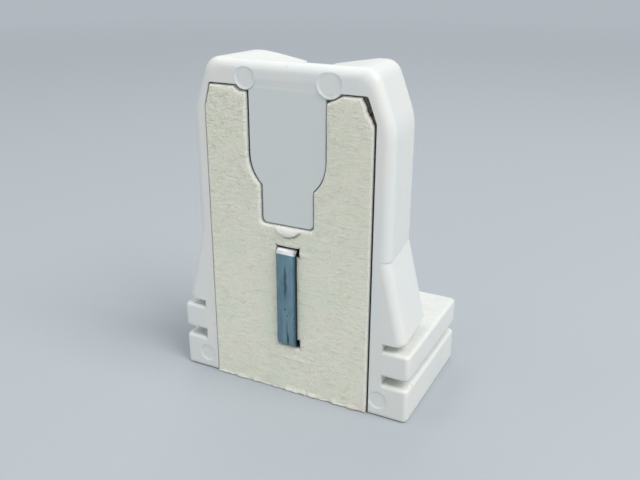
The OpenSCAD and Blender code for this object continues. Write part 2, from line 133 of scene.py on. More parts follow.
# %% A socket that can be used in sums
class Value:
    """An output of a node that Python's operators can work on."""

    def __init__(self, wiring, socket):
        self.wiring, self.socket = wiring, socket

    def maths(self, operation, *terms):
        return self.wiring.maths(operation, *terms)

    def __add__(self, other):
        return self.maths("ADD", self, other)

    def __sub__(self, other):
        return self.maths("SUBTRACT", self, other)

    def __rsub__(self, other):
        return self.maths("SUBTRACT", other, self)

    def __mul__(self, other):
        return self.maths("MULTIPLY", self, other)

    def __truediv__(self, other):
        return self.maths("DIVIDE", self, other)

    def __pow__(self, other):
        return self.maths("POWER", self, other)

    __radd__ = __add__
    __rmul__ = __mul__

    def other(self, name):
        """Another output of the same node."""
        return Value(self.wiring, self.socket.node.outputs[name])

    def size(self):
        return self.maths("ABSOLUTE", self)

    def most(self, other):
        return self.maths("MAXIMUM", self, other)

    def between(self, low, high):
        """0 at low, 1 at high, and a soft step between them. It falls where low is the larger."""
        settings = {"interpolation_type": "SMOOTHSTEP"}
        return self.wiring.node("ShaderNodeMapRange", settings, {0: self, 1: low, 2: high})


print("a value can be added, subtracted, multiplied, divided and raised to a power")

# %% A tree, built one node at a time
class Wiring:
    """A node tree whose nodes are added by plain calls."""

    def __init__(self, tree):
        self.tree = tree

    def node(self, kind, settings=None, inputs=None, output=0):
        """Adds a node, gives it its settings, then its values or links, and returns an output."""
        made = self.tree.nodes.new(kind)
        for name, value in (settings or {}).items():
            setattr(made, name, value)
        for socket, value in (inputs or {}).items():
            self.feed(made.inputs[socket], value)
        return None if output is None else Value(self, made.outputs[output])

    def feed(self, socket, value):
        if isinstance(value, Value):
            self.tree.links.new(value.socket, socket)
        else:
            socket.default_value = value

    def maths(self, operation, *terms):
        return self.node("ShaderNodeMath", {"operation": operation}, dict(enumerate(terms)))

    def axes(self, where):
        """The X, Y and Z of a place or a direction, each as a value."""
        x = self.node("ShaderNodeSeparateXYZ", None, {0: where})
        return x, x.other("Y"), x.other("Z")


print("a tree can be wired from plain calls")

# %% A finish is a tree that feeds a shader
class Finish(Wiring):
    """A material for the holder's pieces, with places in millimetres."""

    def __init__(self, name):
        self.material = bpy.data.materials.new(name)
        self.material.use_nodes = True
        super().__init__(self.material.node_tree)
        self.shader = self.tree.nodes["Principled BSDF"]

    def set(self, **inputs):
        """Feeds the shader: Base_Color=..., Roughness=..."""
        for name, value in inputs.items():
            self.feed(self.shader.inputs[name.replace("_", " ")], value)

    def place(self, stretch=(1, 1, 1), turned=0.0):
        """Place on the piece in millimetres, turned about Y, then stretched along each axis."""
        where = self.node("ShaderNodeTexCoord", output="Object")
        if turned:
            where = self.node("ShaderNodeMapping", None, {0: where, 2: (0, turned, 0)})
        return self.node("ShaderNodeMapping", None, {0: where, 3: [s / MM for s in stretch]})

    def attribute(self, name):
        """What the mesh itself says at each point, under that name."""
        return self.node("ShaderNodeAttribute", {"attribute_name": name}, None, "Fac")

    def noise(self, where, scale, detail=2.0, roughness=0.5, distortion=0.0):
        inputs = {"Vector": where, "Scale": scale, "Detail": detail}
        inputs |= {"Roughness": roughness, "Distortion": distortion}
        return self.node("ShaderNodeTexNoise", {"noise_dimensions": "3D"}, inputs)

    def blend(self, factor, first, second):
        """Colour that goes from first to second as factor goes from 0 to 1."""
        colours = [c if isinstance(c, Value) else (*c, 1) for c in (first, second)]
        return self.node("ShaderNodeMix", {"data_type": "RGBA"},
                         {0: factor, 6: colours[0], 7: colours[1]}, output=2)

    def bump(self, height, depth_mm, normal=None):
        inputs = {"Height": height, "Distance": depth_mm * MM, "Strength": 1.0}
        if normal:
            inputs["Normal"] = normal
        return self.node("ShaderNodeBump", None, inputs)

    def spot(self, across, up, centre, half, soft):
        """1 within an ellipse of that centre and half size, with a soft rim."""
        reach = ((across - centre[0]) / half[0]) ** 2 + ((up - centre[1]) / half[1]) ** 2
        return 1 - reach.between(1 - soft, 1 + soft)


print("sums and finishes are ready")

# %% [markdown]
# ## The white moulding's finish
# The plastic is a dense white thermoset or nylon with the fine skin of a spark-eroded mould.
# Seen close it isn't one white: the melt leaves slow streaks, there are specks, and the flanges
# are rubbed where they slide in the channel. The two grooves are darker, partly dust and partly
# painted shade. The wall that shows in the sheet's cut-out is painted darker, as painted shade
# from the rim above it. The narrow gap round the sheet is painted near-black as painted shade,
# less so in a few places. A Bevel node rounds the light over the moulding's small edges, where
# the mesh itself is square.
#
# Each mask is a product of soft steps. A pair of numbers says where a step starts and ends, in
# millimetres, so a step whose second number is the smaller one falls.

# %% Mix the white plastic
PLASTIC_WHITE, PLASTIC_WARM = (0.755, 0.785, 0.775), (0.79, 0.79, 0.75)
PLASTIC_DUST_AND_SHADE, PLASTIC_SPECK = (0.52, 0.50, 0.45), (0.40, 0.38, 0.34)
PLASTIC_WALL_SHADE = (0.66, 0.70, 0.69)
PAINTED_SHADE = (0.015, 0.009, 0.006)
PLASTIC_IOR, SKIN_DEPTH_MM = 1.49, 0.006
EDGE_ROUND_MM, EDGE_SAMPLES = 0.14, 6
REAR_MM = box_mm("housing")[0].y
GROOVES_MM, GROOVE_SIDE = ((4.6, 5.8), (9.3, 10.3)), (12.4, 13.0)
GROOVE_OUTSIDE_MM, GROOVE_INSIDE_MM = 0.15, 0.1
UNSHADED_TIGHT, UNSHADED_LEFT = 0.8, 0.4
CUT_OUT_FOOT, CUT_OUT_SIDE, CUT_OUT_LOW, CUT_OUT_RIGHT = (22, 22.3), (7.2, 6.8), (31, 27), (-2, 0)
MARK_FOOT, MARK_INNER, MARK_OUTER = (37.9, 38.2), (5.3, 5.6), (7.4, 7.0)
LEFT_SIDE, LEFT_UP = (-9.5, -10.5), (22, 28)
GAP_STARTS, GAP_ENDS = (REAR_MM + 0.3, REAR_MM + 0.5), (REAR_MM + 1.05, REAR_MM + 0.85)
POCKET_SIDE, POCKET_TOP = (11.5, 11.3), (39.9, 39.7)
WALL_SIDE, WALL_FOOT, WALL_TOP = (6.2, 5.8), (22.4, 23.0), (39.6, 39.2)
WALL_ENDS = (REAR_MM + 1.0, REAR_MM + 0.8)


def less_gap_shade(x, z):
    """The share of the painted gap shade left out: round the foot and the right side of the
    sheet's cut-out, below the round marks, and beside the sheet's upper left edge."""
    across = x.size()
    low_or_right = z.between(*CUT_OUT_LOW).most(x.between(*CUT_OUT_RIGHT))
    cut_out = z.between(*CUT_OUT_FOOT) * across.between(*CUT_OUT_SIDE) * low_or_right
    marks = z.between(*MARK_FOOT) * across.between(*MARK_INNER) * across.between(*MARK_OUTER)
    left_edge = x.between(*LEFT_SIDE) * z.between(*LEFT_UP)
    return UNSHADED_TIGHT * cut_out.most(marks) + UNSHADED_LEFT * left_edge


def pocket_gap_shade(x, y, z):
    """1 on the edges of the pocket that the sheet lies in, from just below the rear face: painted shade."""
    depth = y.between(*GAP_STARTS) * y.between(*GAP_ENDS)
    reach = x.size().between(*POCKET_SIDE) * z.between(*POCKET_TOP)
    return depth * reach * (1 - less_gap_shade(x, z))


def in_grooves(x, z):
    """1 in the two grooves that the channel's edges slide in."""
    found = 0
    for low, high in GROOVES_MM:
        above = z.between(low - GROOVE_OUTSIDE_MM, low + GROOVE_INSIDE_MM)
        below = z.between(high + GROOVE_OUTSIDE_MM, high - GROOVE_INSIDE_MM)
        found = found + above * below
    return found * x.size().between(*GROOVE_SIDE)


def shaded_wall(x, y, z):
    """1 on the wall that shows in the sheet's cut-out, painted darker as painted shade."""
    face = x.size().between(*WALL_SIDE) * z.between(*WALL_FOOT) * z.between(*WALL_TOP)
    return face * y.between(*WALL_ENDS)


def moulded_plastic():
    finish = Finish("white_moulding")
    place = finish.place()
    x, y, z = finish.axes(place)
    streaky, rubbed = finish.place((1, 1, 0.35)), finish.place((0.25, 0.25, 6), turned=0.35)
    melt = finish.noise(streaky, 0.16, detail=3, roughness=0.6, distortion=0.8)
    skin = finish.noise(place, 7.0, detail=3, roughness=0.6)
    specks = finish.noise(place, 1.7, detail=1).between(0.775, 0.80)
    rubs = finish.noise(rubbed, 1.1, detail=3, roughness=0.7).between(0.60, 0.72)
    patches = finish.noise(place, 0.22, detail=2).between(0.45, 0.62)
    groove_dust_and_shade = finish.noise(place, 0.9, detail=4, roughness=0.65).between(0.35, 0.75)
    grooves, gap_shade_mask = in_grooves(x, z), pocket_gap_shade(x, y, z)
    colour = finish.blend(melt.between(0.35, 0.7), PLASTIC_WHITE, PLASTIC_WARM)
    # Dust and painted shade: the two grooves are darkened a little, in patches.
    colour = finish.blend(grooves * groove_dust_and_shade * 0.3, colour, PLASTIC_DUST_AND_SHADE)
    colour = finish.blend(specks * 0.45, colour, PLASTIC_SPECK)
    # Painted shade: the wall in the sheet's cut-out is painted darker.
    colour = finish.blend(shaded_wall(x, y, z) * 0.8, colour, PLASTIC_WALL_SHADE)
    # Painted shade: the narrow gap round the sheet is painted near-black.
    colour = finish.blend(gap_shade_mask, colour, PAINTED_SHADE)
    height = skin - 0.8 * rubs * patches
    rounded = finish.node("ShaderNodeBevel", {"samples": EDGE_SAMPLES}, {"Radius": EDGE_ROUND_MM * MM})
    finish.set(
        Base_Color=colour,
        Roughness=0.38 + 0.10 * skin + 0.10 * rubs * patches + 0.2 * grooves * groove_dust_and_shade + 0.5 * gap_shade_mask,
        Normal=finish.bump(height, SKIN_DEPTH_MM, rounded),
        IOR=PLASTIC_IOR,
    )
    return finish.material


white_plastic = moulded_plastic()
print("white plastic:", len(white_plastic.node_tree.nodes), "nodes")

# %% [markdown]
# ## The fibre sheet's finish
# Pressed fibre is paper pulp, laid down in a long web. Its grain runs across the sheet, its
# colour drifts between a greenish and a pinkish cream, and where the die cut or creased it the
# pulp is crushed and paler; that pale colour on the edges, the creases and the lip is also a
# painted highlight. The sheet is painted a little darker towards its top, and its cut edges deep
# in the gap near-black, both as painted shade. The mesh of the plate carries attributes for
# that: `cut_edge` is 1 along the outline, `crease` is 1 on a fold and also covers the lip, and
# `shade` is the painted shadow in the step below the lip.

# %% Mix the fibre board
FIBRE_CREAM, FIBRE_GREEN, FIBRE_PINK = (0.94, 0.945, 0.80), (0.90, 0.935, 0.79), (0.95, 0.93, 0.82)
FIBRE_TOP_SHADE, FIBRE_DARK = (0.84, 0.83, 0.69), (0.62, 0.63, 0.50)
FIBRE_PALE_AND_HIGHLIGHT, FIBRE_WORN = (0.95, 0.945, 0.89), (0.86, 0.74, 0.67)
FIBRE_IOR, FIBRE_DEPTH_MM = 1.4, 0.34
TOP_SHADE_UP = (8, 34)
WORN_AT, WORN_HALF, WORN_SOFT = (plate_high.x - 0.9, 0.0), (1.7, 1.1), 0.8
EDGE_DEEP = (plate_face + 0.42, plate_face + 0.58)
INNER_FACE = (plate_high.y - 0.02, plate_high.y - 0.1)
BEND_FOOT, BEND_TOP = (clip_high.z - 0.1, clip_high.z), (clip_high.z + 1, clip_high.z + 0.5)
BEND_SIDE, BEND_DEEP = (2.2, 1.8), (plate_face + 0.08, plate_face + 0.16)


def edge_gap_shade(x, y, z):
    """Painted shade: 1 deep on the sheet's cut edges and over the strap's bend, not on the inner face."""
    deep = y.between(*EDGE_DEEP) * (1 - less_gap_shade(x, z))
    over_bend = z.between(*BEND_FOOT) * z.between(*BEND_TOP)
    over_bend = over_bend * x.size().between(*BEND_SIDE) * y.between(*BEND_DEEP)
    return deep.most(over_bend) * y.between(*INNER_FACE)


def fibre_board():
    finish = Finish("pressed_fibre")
    place = finish.place()
    x, y, z = finish.axes(place)
    drift = finish.noise(place, 0.23, detail=2, roughness=0.5, distortion=0.4)
    web = finish.noise(finish.place((0.7, 1, 2.4)), 1.25, detail=6, roughness=0.66, distortion=0.6)
    pulp = finish.noise(finish.place((1, 1, 1.5)), 3.4, detail=4, roughness=0.65)
    along_grain = finish.place((0.5, 1, 5.5), turned=0.12)
    hairs = finish.noise(along_grain, 3.0, detail=3, roughness=0.6, distortion=1.2)
    cut, crease, shade = (finish.attribute(name) for name in ("cut_edge", "crease", "shade"))
    colour = finish.blend(drift.between(0.50, 0.68), FIBRE_CREAM, FIBRE_PINK)
    colour = finish.blend(drift.between(0.48, 0.34), colour, FIBRE_GREEN)
    # Painted shade: the sheet is painted a little darker towards its top.
    colour = finish.blend(z.between(*TOP_SHADE_UP) * 0.45, colour, FIBRE_TOP_SHADE)
    colour = finish.blend(web.between(0.47, 0.28) * 0.45, colour, FIBRE_DARK)
    colour = finish.blend(pulp.between(0.45, 0.32) * 0.55, colour, FIBRE_DARK)
    colour = finish.blend(pulp.between(0.54, 0.72) * 0.6, colour, FIBRE_PALE_AND_HIGHLIGHT)
    colour = finish.blend(hairs.between(0.64, 0.72) * 0.18, colour, FIBRE_DARK)
    # Crushed pulp and painted highlight: cut edges, torn foot, creases and lip are painted paler.
    pale = cut.between(0.15, 0.9) + crease.between(0.1, 0.8)
    colour = finish.blend(pale * (0.55 + 0.6 * pulp), colour, FIBRE_PALE_AND_HIGHLIGHT)
    worn = finish.spot(x + 1.2 * (web - 0.5), z, WORN_AT, WORN_HALF, WORN_SOFT)
    colour = finish.blend(worn * 0.6, colour, FIBRE_WORN)
    # Painted shade: deep cut edges, the slot over the bend and the step below the lip go near-black.
    colour = finish.blend(edge_gap_shade(x, y, z).most(shade), colour, PAINTED_SHADE)
    height = 0.6 * web + 0.4 * pulp + 0.15 * hairs
    finish.set(
        Base_Color=colour,
        Roughness=0.72 + 0.2 * pulp,
        Normal=finish.bump(height, FIBRE_DEPTH_MM),
        IOR=FIBRE_IOR,
    )
    return finish.material


pressed_fibre = fibre_board()
print("fibre board:", len(pressed_fibre.node_tree.nodes), "nodes")

# %% [markdown]
# ## The metals' finishes
# Every strip in the holder is rolled metal, so all three finishes share one recipe: fine
# streaks along the rolling, cloudy patches where the plating or the oil film is thicker, and a
# roughness that follows both. Only the colours and the strength of the marks differ.

# %% Mix the three rolled metals
METAL_DEPTH_MM = 0.008


def rolled_metal(name, colour, dull, stretch, roughness, marks=None):
    """Rolled strip: streaks run along the axis whose stretch is smallest. marks adds stains and painted
    light.
    """
    finish = Finish(name)
    wide = [max(0.2 * s, 0.3) for s in stretch]
    streaks = finish.noise(finish.place(stretch), 5.0, detail=4, roughness=0.6, distortion=0.3)
    clouds = finish.noise(finish.place(wide), 0.9, detail=3, roughness=0.6)
    pits = finish.noise(finish.place(), 5.5, detail=2).between(0.70, 0.76)
    shade = 0.5 * streaks.between(0.3, 0.75) + 0.5 * clouds.between(0.35, 0.65)
    mixed = finish.blend(shade, colour, dull)
    mixed = finish.blend(pits * 0.5, mixed, [c * 0.4 for c in colour])
    if marks:
        mixed = marks(finish, mixed, streaks)
    finish.set(
        Base_Color=mixed,
        Metallic=1.0,
        Roughness=roughness + 0.16 * streaks + 0.12 * clouds,
        Normal=finish.bump(0.7 * streaks + 0.3 * clouds - 0.6 * pits, METAL_DEPTH_MM),
    )
    return finish.material


ZINC_BLUE, ZINC_DARK = (0.25, 0.385, 0.45), (0.15, 0.255, 0.325)
ZINC_STAIN_AND_SHADE, ZINC_BEND_HIGHLIGHT = (0.02, 0.045, 0.055), (0.93, 0.91, 0.87)
BRONZE, BRONZE_DULL = (0.78, 0.50, 0.28), (0.62, 0.37, 0.19)
STEEL, STEEL_DULL = (0.60, 0.61, 0.62), (0.46, 0.46, 0.48)
STAINS_MM = (
    ((-0.10, 15.9), (0.22, 2.0), 0.95, 0.65), ((-0.18, 12.2), (0.10, 0.15), 0.4, 0.9),
    ((0.12, 11.3), (0.09, 0.12), 0.4, 0.8), ((0.08, 9.4), (0.08, 1.3), 0.9, 0.6),
    ((0.20, 7.9), (0.16, 0.9), 0.9, 0.8), ((1.05, 11.2), (0.07, 0.13), 0.5, 0.7),
    ((1.02, 10.4), (0.07, 0.16), 0.5, 0.6), ((1.05, 9.7), (0.06, 0.12), 0.5, 0.6),
)
HIGHLIGHT_FROM = (clip_high.z - 0.72, clip_high.z - 0.64)
SHADED_SIDE = (clip_high.x - 0.5, clip_high.x - 0.08)
BELOW_SHEET = (plate_face + 0.2, plate_face + 0.4)


def clip_stains_and_painted_light(finish, mixed, streaks):
    """Stains down the strap, each with its centre, half size, softness and strength, then a painted
    highlight on the bend, painted shade on the right side and the side faces, and below the sheet."""
    x, y, z = finish.axes(finish.place())
    across = x + 0.3 * (finish.noise(finish.place((1, 1, 0.6)), 1.8, detail=2) - 0.5)
    for centre, half, soft, strength in STAINS_MM:
        stain = finish.spot(across, z, centre, half, soft)
        mixed = finish.blend(stain * strength, mixed, ZINC_STAIN_AND_SHADE)
    # Painted highlight: the strap's top bend is painted a near-white metal colour.
    mixed = finish.blend(z.between(*HIGHLIGHT_FROM) * (1.0 - 0.15 * streaks), mixed, ZINC_BEND_HIGHLIGHT)
    # Painted shade: the strap's right edge is painted darker.
    mixed = finish.blend(x.between(*SHADED_SIDE) * 0.55, mixed, ZINC_STAIN_AND_SHADE)
    # Painted shade: the strap's side faces are darkened where they face sideways.
    shaded_side_faces = finish.axes(finish.node("ShaderNodeTexCoord", output="Normal"))[0].size()
    mixed = finish.blend(shaded_side_faces.between(0.45, 0.75) * 0.9, mixed, ZINC_STAIN_AND_SHADE)
    # Painted shade: the legs below the sheet's face go near-black.
    return finish.blend(y.between(*BELOW_SHEET), mixed, PAINTED_SHADE)


zinc_plate = rolled_metal("zinc_plate", ZINC_BLUE, ZINC_DARK, (5, 5, 0.25), 0.28, clip_stains_and_painted_light)
bronze = rolled_metal("bronze_strip", BRONZE, BRONZE_DULL, (4, 4, 0.3), 0.24)
spring = rolled_metal("spring_strip", STEEL, STEEL_DULL, (0.3, 4, 4), 0.26)
print("metals:", [m.name for m in (zinc_plate, bronze, spring)])

# %% [markdown]
# ## Putting a piece on the frame
# Every finished piece is handled alike: its mesh gets its finish, the piece rides on the body
# that carries it, and it stands for its solid, which is hidden.

# %% The steps that every piece shares
JOIN_MM = 0.004


def add_piece(name, mesh, material, body, solid):
    mesh.materials.clear()
    mesh.materials.append(material)
    piece = new_object(name, mesh)
    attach(piece, body)
    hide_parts(solid)
    print(f"{name}: {len(mesh.polygons)} faces on {body}")
    return piece


def merged_copy(name):
    """A solid's mesh with its loose triangles joined, ready for work in bmesh."""
    made = bmesh.new()
    made.from_mesh(solids[name].data)
    bmesh.ops.remove_doubles(made, verts=made.verts, dist=JOIN_MM * MM)
    return made


def plain_mesh(source, name):
    """Applies every modifier of an object and returns the result, and removes the object."""
    scene_now = bpy.context.evaluated_depsgraph_get()
    mesh = bpy.data.meshes.new_from_object(
        source.evaluated_get(scene_now), preserve_all_data_layers=True, depsgraph=scene_now)
    mesh.name = name
    bpy.data.objects.remove(source)
    return mesh


print("corners closer than", JOIN_MM, "mm will be joined")

# %% A recipe grows one mesh out of another
class Recipe(Wiring):
    """A Geometry Nodes tree that takes a mesh and named sizes, and gives a mesh back."""

    KINDS = {float: "NodeSocketFloat", int: "NodeSocketInt"}

    def __init__(self, name, **sizes):
        super().__init__(bpy.data.node_groups.new(name, "GeometryNodeTree"))
        self.name, self.sizes = name, sizes
        face = self.tree.interface
        face.new_socket("Mesh", in_out="INPUT", socket_type="NodeSocketGeometry")
        face.new_socket("Finish", in_out="INPUT", socket_type="NodeSocketMaterial")
        for size, value in sizes.items():
            face.new_socket(size, in_out="INPUT", socket_type=self.KINDS[type(value)])
        face.new_socket("Mesh", in_out="OUTPUT", socket_type="NodeSocketGeometry")
        self.given = self.tree.nodes.new("NodeGroupInput")

    def take(self, name):
        return Value(self, self.given.outputs[name])

    def join(self, *geometries):
        made = self.tree.nodes.new("GeometryNodeJoinGeometry")
        for geometry in reversed(geometries):
            self.feed(made.inputs[0], geometry)
        return Value(self, made.outputs[0])

    def give(self, geometry):
        """Ends the tree: copies become real faces, and the finish goes on."""
        real = self.node("GeometryNodeRealizeInstances", None, {0: geometry})
        dressed = self.node("GeometryNodeSetMaterial", None, {0: real, 2: self.take("Finish")})
        self.node("NodeGroupOutput", None, {0: dressed}, output=None)

    def grow(self, mesh, material):
        """Runs the tree on a mesh and returns the plain mesh that comes out."""
        draft = new_object("draft", mesh)
        modifier = draft.modifiers.new(self.name, "NODES")
        modifier.node_group = self.tree
        for socket in self.tree.interface.items_tree:
            if socket.in_out == "INPUT" and socket.name == "Finish":
                modifier[socket.identifier] = material
            elif socket.in_out == "INPUT" and socket.name in self.sizes:
                modifier[socket.identifier] = self.sizes[socket.name]
        return plain_mesh(draft, mesh.name)


print("a recipe takes sizes of kind", " or ".join(kind.__name__ for kind in Recipe.KINDS))

# %% [markdown]
# ## The moulding
# The solid already has the moulding's real shape: flanges, flared sides, humps, pin track. So
# its mesh is kept, and only its shading is put right. Faces that meet at a small angle are
# one curved skin and shade smoothly, while those that meet at more than 30 degrees
# stay crisp. So do the rims of the round marks on the rear, which slope less, and the shallow
# fold at the waist, which is a real line on the moulding.

# %% Skin the moulding
SHARP = math.radians(30)
RIM = math.radians(20)
FOLD = math.radians(4)
WAIST_MM, AT_WAIST_MM = 20.7, 0.025
AT_REAR_MM = 0.2


def moulding_skin():
    """The housing's mesh, smooth but for its sharp edges, the marks' rims and the fold."""
    skin = merged_copy("housing")
    for edge in skin.edges:
        angle = edge.calc_face_angle(0)
        at_waist = all(abs(v.co.z / MM - WAIST_MM) < AT_WAIST_MM for v in edge.verts)
        at_rear = all(v.co.y / MM < REAR_MM + AT_REAR_MM for v in edge.verts)
        edge.smooth = not (angle > SHARP or (at_rear and angle > RIM) or (at_waist and angle > FOLD))
    for face in skin.faces:
        face.smooth = True
    mesh = bpy.data.meshes.new("lampholder_moulding")
    skin.to_mesh(mesh)
    skin.free()
    return mesh


moulding = add_piece("lampholder_moulding", moulding_skin(), white_plastic, "holder",
                     "housing")
weighted = moulding.modifiers.new("even_shading", "WEIGHTED_NORMAL")
weighted.keep_sharp = True

# %% [markdown]
# ## The fibre sheet
# A die cuts this sheet from board 0.8 mm thick. Its long sides are slit clean, and its foot is a
# little torn. The punch that makes the cut-out and the top rolls their edges over, and it pushes
# a half-moon lip out below the cut-out. The strip's legs leave creases beside the slots. The
# plain solid has sharp edges only, so the sheet is built anew: its outline comes from the
# solid's inner face, the outer face is filled with a fine net of triangles, and each of its
# points then moves in or out a little.

# %% Take the outline from the solid
FLAT_M = 1e-6
OUTLINE_GAP_MM = 0.2


def inner_loops(name):
    """The closed outlines of a solid's flat inner face, as arrays of X and Z in millimetres."""
    solid = merged_copy(name)
    solid.faces.index_update()
    solid.verts.index_update()
    innermost = max(v.co.y for v in solid.verts)
    flat = [f for f in solid.faces if all(abs(v.co.y - innermost) < FLAT_M for v in f.verts)]
    inner = {f.index for f in flat}
    follows = {}
    for face in flat:
        for corner in face.loops:
            if any(f.index not in inner for f in corner.edge.link_faces):
                follows[corner.vert.index] = corner.link_loop_next.vert.index
    solid.verts.ensure_lookup_table()
    loops = []
    while follows:
        start = at = next(iter(follows))
        loop = []
        while at in follows:
            loop.append((solid.verts[at].co.x / MM, solid.verts[at].co.z / MM))
            at = follows.pop(at)
        loops.append(np.array(loop))
        assert at == start, "an outline didn't close"
    solid.free()
    return loops


def finer(loop, gap):
    """The same outline with points no further apart than gap."""
    points = []
    for a, b in zip(loop, np.roll(loop, -1, axis=0)):
        steps = max(1, math.ceil(np.linalg.norm(b - a) / gap))
        points += [a + (b - a) * i / steps for i in range(steps)]
    return np.array(points)


outlines = [finer(loop, OUTLINE_GAP_MM) for loop in inner_loops("back_plate")]
print("outlines of the sheet:", [len(loop) for loop in outlines], "points")

# %% [markdown]
# The real sheet isn't quite as drawn. It sits a little to the left in its pocket, while its
# slots stay with the strap. Its upper right corner and the edge above the strap's bend are
# pressed out of line. Its foot is ragged, which slow and quick noise added together can give.

# %% Wear the outline
SHEET_SITS_MM, SLOT_SITS_MM = -0.13, 0.03
PRESSED_MM = (
    ((8.9, 39.4), 1.6, (0.46, 0.0)), ((10.2, 37.9), 1.2, (0.27, 0.0)),
    ((10.9, 36.7), 0.4, (-0.12, 0.0)), ((0.0, 20.5), 2.2, (0.0, -0.1)),
)
RAGGED_MM, RAGGED_TO_MM, RAGGED_BELOW_MM = 0.12, plate_high.x - 0.3, 0.01
TEETH = ((0.9, 2.1), (3.1, 6.4))


def as_worn(loop):
    """An outline with its place, its pressed spots (where, reach and shift) and its foot."""
    is_slot = np.ptp(loop[:, 0]) < plate_high.x
    worn = loop + (SLOT_SITS_MM if is_slot else SHEET_SITS_MM, 0)
    for point in worn:
        for where, reach, shift in PRESSED_MM:
            away = math.hypot(point[0] - where[0], point[1] - where[1]) / reach
            point += np.array(shift) * max(0.0, 1 - away ** 2)
        if point[1] < RAGGED_BELOW_MM and abs(point[0]) < RAGGED_TO_MM:
            teeth = [noise.noise(Vector((point[0] * scale, 0, at))) for scale, at in TEETH]
            point[1] = RAGGED_MM * max(0.0, sum(teeth))
    return worn


worn_loops = [as_worn(loop) for loop in outlines]
worn_by = [np.linalg.norm(worn - loop, axis=1).max() for worn, loop in zip(worn_loops, outlines)]
print("the outlines moved by up to", [round(float(move), 2) for move in worn_by], "mm")

# %% [markdown]
# Two measures steer the rest: how far a point is from the outline, and whether the edge near it
# is rolled wide, as a punch leaves it. That holds for the cut-out and the sheet's top. The long
# sides, the foot and the two slots have a narrow edge, as a slit has.

# %% Measure from the outline
LIP_TOP_MM, LIP_CENTRE_MM, LIP_RADIUS_MM, LIP_RAMP_MM = 23.005, 23.905, 2.1, 0.85
PUNCHED_ABOVE_MM, SLIT_WITHIN_MM = LIP_TOP_MM - 0.2, 0.05
MIXED_WITHIN_MM, POINTS_AT_ONCE = 0.12, 400
starts = np.concatenate(worn_loops)
ends = np.concatenate([np.roll(loop, -1, axis=0) for loop in worn_loops])
middles = (starts + ends) / 2
along = ends - starts
lengths = np.linalg.norm(along, axis=1)
slit_side = np.abs(middles[:, 0] - SHEET_SITS_MM) > plate_high.x - SLIT_WITHIN_MM
punched_edge = ((middles[:, 1] > PUNCHED_ABOVE_MM) & ~slit_side).astype(float)


def from_outline(points):
    """Distance of each point from the outline, and how far the edge near it is a punched one."""
    gaps, shares = [], []
    for part in np.array_split(points, max(1, len(points) // POINTS_AT_ONCE)):
        to = part[:, None] - starts
        t = np.clip((to * along).sum(2) / lengths ** 2, 0, 1)
        away = to - t[..., None] * along
        gap = np.linalg.norm(away, axis=2)
        near = gap.min(1)
        share = np.exp(-(gap - near[:, None]) / MIXED_WITHIN_MM) * lengths
        gaps.append(near)
        shares.append((share * punched_edge).sum(1) / share.sum(1))
    return np.concatenate(gaps), np.concatenate(shares)


def inside(points):
    """True for each point within the sheet: an odd number of outlines lie to its right."""
    x, z = points[:, :1], points[:, 1:]
    crosses = (starts[:, 1] > z) != (ends[:, 1] > z)
    with np.errstate(divide="ignore", invalid="ignore"):
        at = starts[:, 0] + (z - starts[:, 1]) / (ends[:, 1] - starts[:, 1]) * along[:, 0]
    return (crosses & (x < at)).sum(1) % 2 == 1


punched_share = float((punched_edge * lengths).sum() / lengths.sum())
print("share of the outline that is punched:", round(punched_share, 2))

# %% [markdown]
# The net of points is fine where the shape changes quickly: rows of points follow the outline
# through its rolled edge, and a plain grid fills the rest. A constrained Delaunay
# triangulation joins them, which keeps every outline edge as it is.

# %% Fill the outline with a net
EDGE_ROWS_MM = (0.05, 0.11, 0.19, 0.30, 0.45)
LIP_ROWS_MM, ARC_STEP_MM = (-0.12, -0.04, 0.04, 0.12), 0.13
NET_MM, NET_CLEAR_MM = 0.19, 0.095
JUST_INSIDE_MM, KEPT_SHARE = 0.02, 0.93
SLIVER_MM2, SAME_POINT_MM = 1e-6, 1e-7


def net_points():
    """Rows along the outline, a grid, and arcs along the lip, clear of one another."""
    inward = np.stack([along[:, 1], -along[:, 0]], 1) / lengths[:, None]
    inward[~inside(middles + inward * JUST_INSIDE_MM)] *= -1
    rows = []
    for row in EDGE_ROWS_MM:
        placed = middles + inward * row
        gap, _ = from_outline(placed)
        rows.append(placed[(gap > row * KEPT_SHARE) & inside(placed)])
    xs = np.arange(plate_low.x, plate_high.x, NET_MM)
    zs = np.arange(plate_low.z, plate_high.z, NET_MM)
    grid = np.stack(np.meshgrid(xs, zs), 2)
    grid[1::2, :, 0] += NET_MM / 2
    grid = grid.reshape(-1, 2)
    grid = grid[inside(grid)]
    gap, _ = from_outline(grid)
    from_lip = np.abs(np.hypot(grid[:, 0], grid[:, 1] - LIP_CENTRE_MM) - LIP_RADIUS_MM)
    off_edge, off_lip = EDGE_ROWS_MM[-1] + NET_CLEAR_MM, LIP_ROWS_MM[-1] + NET_CLEAR_MM
    rows.append(grid[(gap > off_edge) & (from_lip > off_lip)])
    for row in LIP_ROWS_MM:
        turn = np.arange(-math.pi, 0, ARC_STEP_MM / LIP_RADIUS_MM)
        arc = (LIP_RADIUS_MM + row) * np.stack([np.cos(turn), np.sin(turn)], 1) + (0, LIP_CENTRE_MM)
        gap, _ = from_outline(arc)
        rows.append(arc[(gap > off_edge) & inside(arc)])
    return np.concatenate(rows)


def outline_pairs():
    """The numbers of the points that are neighbours along the outlines."""
    pairs, base = [], 0
    for loop in worn_loops:
        count = len(loop)
        pairs += [(base + i, base + (i + 1) % count) for i in range(count)]
        base += count
    return pairs


def areas(points, faces):
    a, b, c = (points[faces[:, i]] for i in range(3))
    return np.abs((b - a)[:, 0] * (c - a)[:, 1] - (b - a)[:, 1] * (c - a)[:, 0]) / 2


